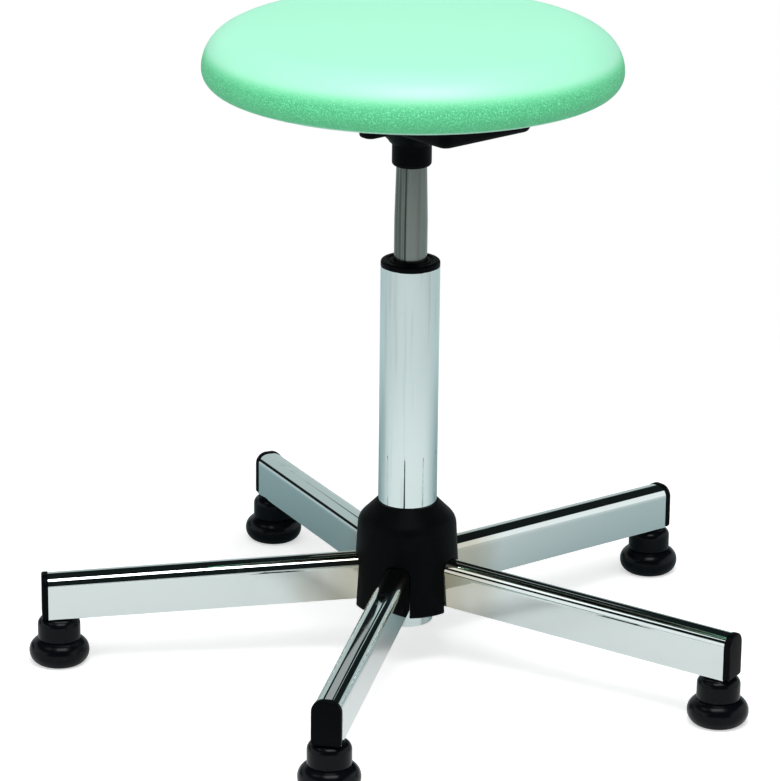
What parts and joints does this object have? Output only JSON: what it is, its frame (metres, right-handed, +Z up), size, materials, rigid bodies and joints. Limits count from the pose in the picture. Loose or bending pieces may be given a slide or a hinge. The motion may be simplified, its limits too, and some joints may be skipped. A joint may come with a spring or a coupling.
{
  "type": "medical stool",
  "caption": "Round foam-topped swivel stool with a gas-lift height column on a star base of sloping tube arms with plug-in glides.",
  "frame": {"origin": "on the floor at the column's axis", "axes": "+Z up along the column, -Y along the first arm"},
  "size_m": [0.6162, 0.5885, 0.5516],
  "materials": {
    "chrome": "bright chrome plate",
    "cylinder_steel": "dark burnished steel",
    "steel": "plain machined steel",
    "brass": "turned brass",
    "black_moulding": "satin black moulded plastic",
    "grey_moulding": "plain grey moulded plastic",
    "black_paint": "satin black powder coat",
    "rubber": "black rubber",
    "board": "pressed ply",
    "mint_foam": "mint green self-skinned polyurethane foam, fine leather grain"
  },
  "bodies": {
    "base": {"hub_core": "steel", "hub_cover": "black_moulding", "column_tube": "chrome", "guide_bush": "black_moulding", "bearing_race_lower": "steel", "bearing_cage": "brass", "bearing_balls": "steel", "arm_1": "chrome", "arm_cap_1": "black_moulding", "glide_socket_1": "grey_moulding", "arm_2": "chrome", "arm_cap_2": "black_moulding", "glide_socket_2": "grey_moulding", "arm_3": "chrome", "arm_cap_3": "black_moulding", "glide_socket_3": "grey_moulding", "arm_4": "chrome", "arm_cap_4": "black_moulding", "glide_socket_4": "grey_moulding", "arm_5": "chrome", "arm_cap_5": "black_moulding", "glide_socket_5": "grey_moulding"},
    "rod": {"piston_rod": "steel", "rod_clip": "steel", "bearing_race_upper": "steel", "rubber_buffer": "rubber", "piston": "steel"},
    "seat": {"gas_cylinder": "cylinder_steel", "cylinder_seal": "rubber", "valve_block": "brass", "cone_socket": "black_paint", "seat_plate": "black_paint", "lever_bracket_inner": "black_paint", "lever_bracket_outer": "black_paint", "plate_screws": "steel", "t_nuts": "steel", "seat_board": "board", "seat_pad": "mint_foam"},
    "lever": {"release_lever": "black_paint", "lever_grip": "black_moulding"},
    "valve": {"valve_pin": "steel"},
    "glide_1": {"glide_1": "black_moulding", "glide_stem_1": "steel"},
    "glide_2": {"glide_2": "black_moulding", "glide_stem_2": "steel"},
    "glide_3": {"glide_3": "black_moulding", "glide_stem_3": "steel"},
    "glide_4": {"glide_4": "black_moulding", "glide_stem_4": "steel"},
    "glide_5": {"glide_5": "black_moulding", "glide_stem_5": "steel"}
  },
  "joints": [
    {"name": "seat_swivel", "type": "hinge", "parent": "base", "child": "rod", "pos_m": [0, 0, 0.0425], "axis": [0, 0, 1], "continuous": true},
    {"name": "seat_height", "type": "slide", "parent": "rod", "child": "seat", "axis": [0, 0, 1], "range_m": [-0.0764, 0.0536]},
    {"name": "lever_pull", "type": "hinge", "parent": "seat", "child": "lever", "pos_m": [-0.01218, -0.01587, 0.4904], "axis": [-0.7934, 0.6088, 0], "range_deg": [0, 4], "stiffness_Nm_per_rad": 1.5, "springref_deg": -2.86},
    {"name": "valve_press", "type": "slide", "parent": "seat", "child": "valve", "axis": [0, 0, 1], "range_m": [-0.0016, 0]},
    {"name": "glide_swivel_1", "type": "hinge", "parent": "base", "child": "glide_1", "pos_m": [0, -0.297, 0.02], "axis": [0, 0, 1], "continuous": true},
    {"name": "glide_swivel_2", "type": "hinge", "parent": "base", "child": "glide_2", "pos_m": [0.28246, -0.09178, 0.02], "axis": [0, 0, 1], "continuous": true},
    {"name": "glide_swivel_3", "type": "hinge", "parent": "base", "child": "glide_3", "pos_m": [0.17457, 0.24028, 0.02], "axis": [0, 0, 1], "continuous": true},
    {"name": "glide_swivel_4", "type": "hinge", "parent": "base", "child": "glide_4", "pos_m": [-0.17457, 0.24028, 0.02], "axis": [0, 0, 1], "continuous": true},
    {"name": "glide_swivel_5", "type": "hinge", "parent": "base", "child": "glide_5", "pos_m": [-0.28246, -0.09178, 0.02], "axis": [0, 0, 1], "continuous": true}
  ],
  "couplings": [
    {"joint": "valve_press", "follows": "lever_pull", "m_per_rad": -0.02}
  ]
}
